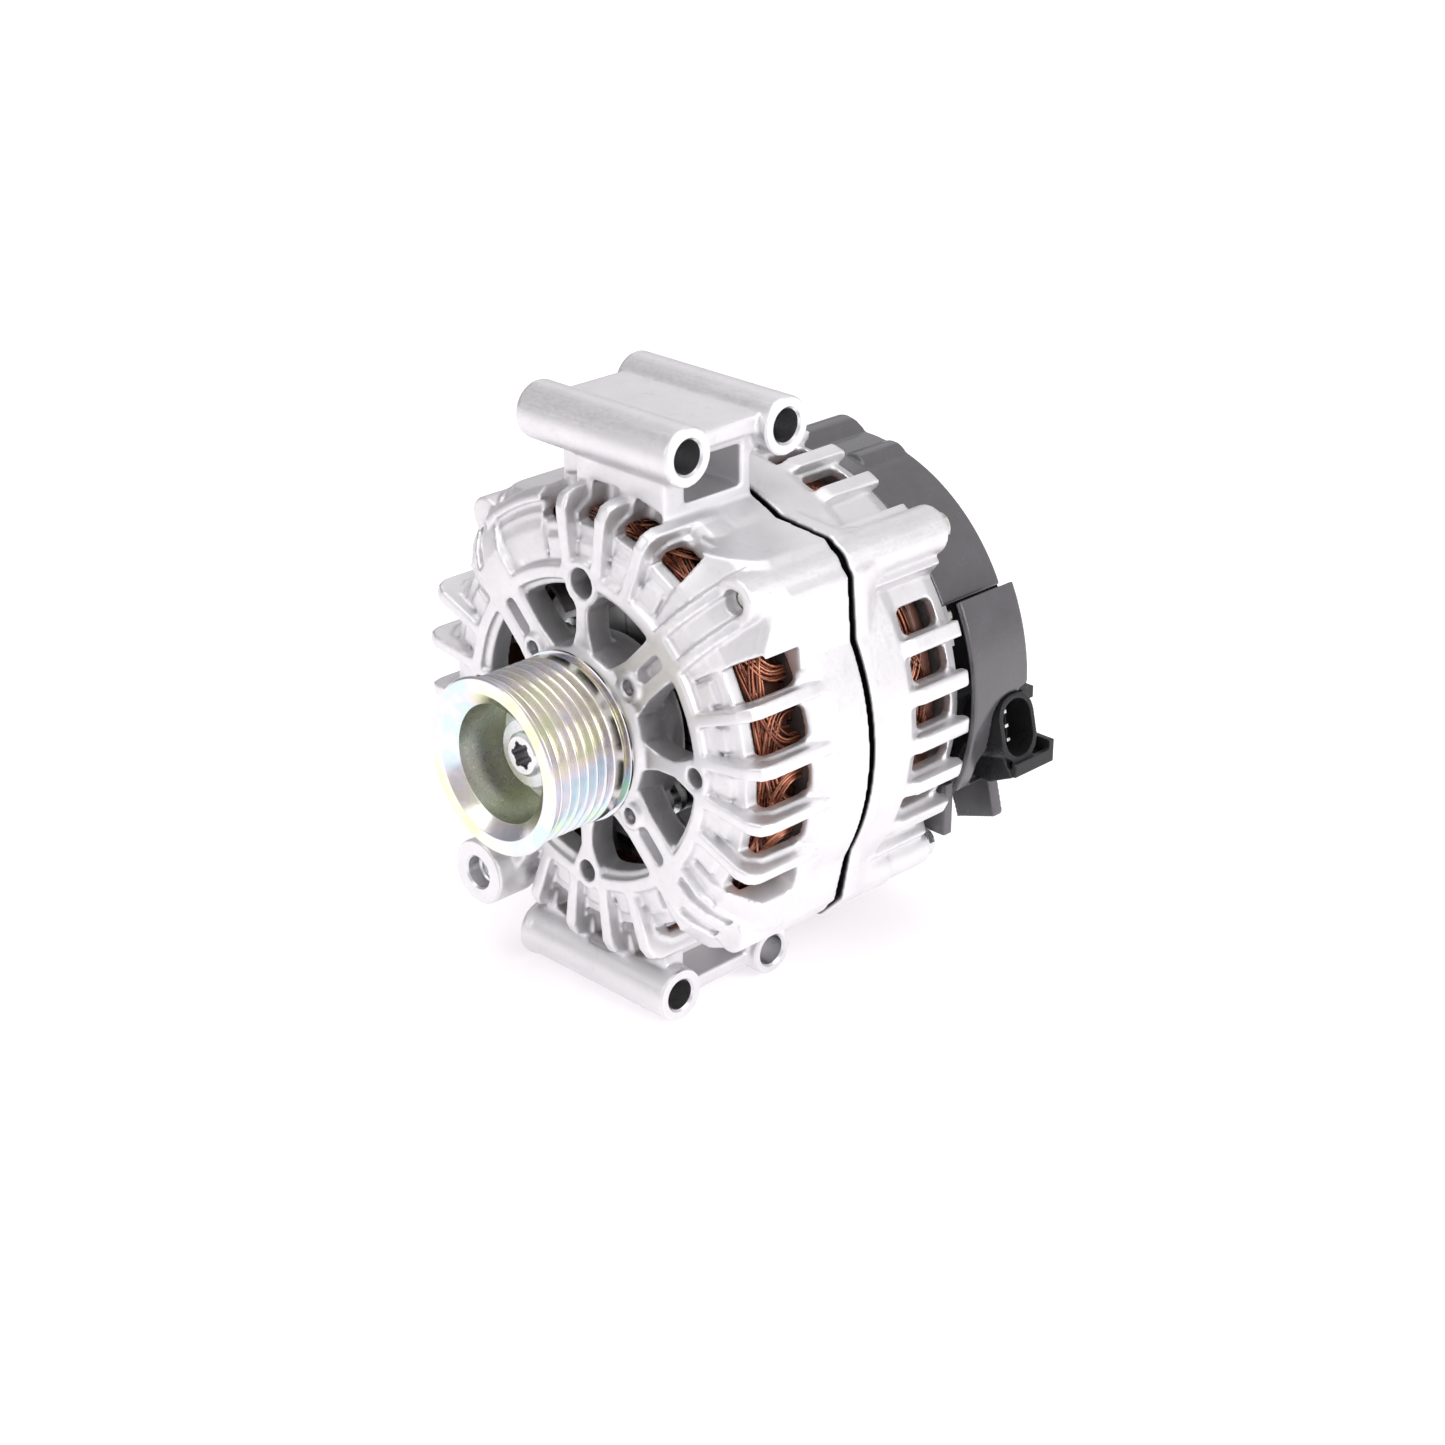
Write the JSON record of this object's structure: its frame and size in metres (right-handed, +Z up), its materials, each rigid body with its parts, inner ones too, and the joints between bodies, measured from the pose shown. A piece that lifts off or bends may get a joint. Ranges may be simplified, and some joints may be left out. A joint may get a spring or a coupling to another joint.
{
  "type": "car alternator",
  "caption": "Claw-pole alternator with a multi-groove belt pulley, finned two-part cast body, cross tubes for its mounting bolts and a plastic rear cover.",
  "frame": {"origin": "on the rotor axis, in the middle plane of the belt", "axes": "+Y along the rotor axis from the pulley to the rear cover, +Z up through the two top tubes, +X to the right seen from the pulley, on the connector's side"},
  "size_m": [0.1583, 0.1763, 0.1948],
  "materials": {
    "cast_aluminium": "die cast, fine grain, soft sheen",
    "cover_plastic": "dark grey satin moulded plastic",
    "black_plastic": "black moulded plastic",
    "tinned_contact": "tinned contact blade",
    "zinc_plated_pulley": "turned steel, zinc plated with a rainbow tint",
    "plated_steel": "zinc plated steel",
    "dark_screw": "dark plated screw",
    "machined_shaft": "turned steel",
    "pole_iron": "forged iron, dark varnish",
    "fan_steel": "pressed sheet steel",
    "enamelled_copper": "varnished copper wire",
    "bobbin_plastic": "moulded bobbin",
    "copper_ring": "polished copper ring",
    "bearing_steel": "ground bearing steel",
    "bearing_cage": "moulded bearing cage",
    "seal_rubber": "black seal",
    "pale_plastic": "pale moulded plastic",
    "lamination_steel": "stacked steel laminations, dark varnish",
    "carbon_brush": "pressed carbon and copper brush",
    "spring_steel": "drawn wire",
    "heatsink_aluminium": "pressed plate",
    "diode_case": "nickel plated diode case",
    "copper_lead": "bare copper wire",
    "stud_metal": "plated stud"
  },
  "bodies": {
    "housing": {"front_housing": "cast_aluminium", "rear_housing": "cast_aluminium", "rear_cover": "cover_plastic", "connector_socket": "black_plastic", "connector_pins": "tinned_contact", "front_bearing_outer": "bearing_steel", "front_bearing_seals": "seal_rubber", "rear_bearing_outer": "bearing_steel", "rear_bearing_seals": "seal_rubber", "rear_bearing_sleeve": "pale_plastic", "bearing_retainer": "plated_steel", "retainer_screws": "dark_screw", "stator_core": "lamination_steel", "stator_winding": "enamelled_copper", "through_bolts": "plated_steel", "brush_holder": "black_plastic", "front_brush_spring": "spring_steel", "rear_brush_spring": "spring_steel", "voltage_regulator": "black_plastic", "regulator_screws": "plated_steel", "negative_heatsink": "heatsink_aluminium", "positive_heatsink": "heatsink_aluminium", "negative_diodes": "diode_case", "positive_diodes": "diode_case", "rectifier_board": "black_plastic", "heatsink_spacers": "pale_plastic", "rectifier_screws": "plated_steel", "phase_leads": "copper_lead", "output_stud": "stud_metal", "output_nut": "plated_steel", "cover_screws": "plated_steel"},
    "rotor": {"pulley": "zinc_plated_pulley", "pulley_nut": "plated_steel", "rotor_shaft": "machined_shaft", "spacer_collar": "plated_steel", "front_pole": "pole_iron", "rear_pole": "pole_iron", "field_coil": "enamelled_copper", "coil_bobbin": "bobbin_plastic", "front_fan": "fan_steel", "rear_fan": "fan_steel", "slip_ring_hub": "black_plastic", "slip_ring_front": "copper_ring", "slip_ring_rear": "copper_ring", "front_bearing_inner": "bearing_steel", "rear_bearing_inner": "bearing_steel"},
    "front_ball_set": {"front_bearing_balls": "bearing_steel", "front_bearing_cage": "bearing_cage"},
    "rear_ball_set": {"rear_bearing_balls": "bearing_steel", "rear_bearing_cage": "bearing_cage"},
    "front_brush": {"front_brush": "carbon_brush"},
    "rear_brush": {"rear_brush": "carbon_brush"}
  },
  "joints": [
    {"name": "rotor_spin", "type": "hinge", "parent": "housing", "child": "rotor", "pos_m": [0, 0.072, 0], "axis": [0, 1, 0], "continuous": true},
    {"name": "front_ball_spin", "type": "hinge", "parent": "housing", "child": "front_ball_set", "pos_m": [0, 0.031, 0], "axis": [0, 1, 0], "continuous": true},
    {"name": "rear_ball_spin", "type": "hinge", "parent": "housing", "child": "rear_ball_set", "pos_m": [0, 0.1175, 0], "axis": [0, 1, 0], "continuous": true},
    {"name": "front_brush_slide", "type": "slide", "parent": "housing", "child": "front_brush", "axis": [0, 0, -1], "range_m": [0, 0.005], "deforming": ["front_brush_spring"]},
    {"name": "rear_brush_slide", "type": "slide", "parent": "housing", "child": "rear_brush", "axis": [0, 0, -1], "range_m": [0, 0.005], "deforming": ["rear_brush_spring"]}
  ],
  "couplings": [
    {"joint": "front_ball_spin", "follows": "rotor_spin", "ratio": 0.351},
    {"joint": "rear_ball_spin", "follows": "rotor_spin", "ratio": 0.381}
  ]
}
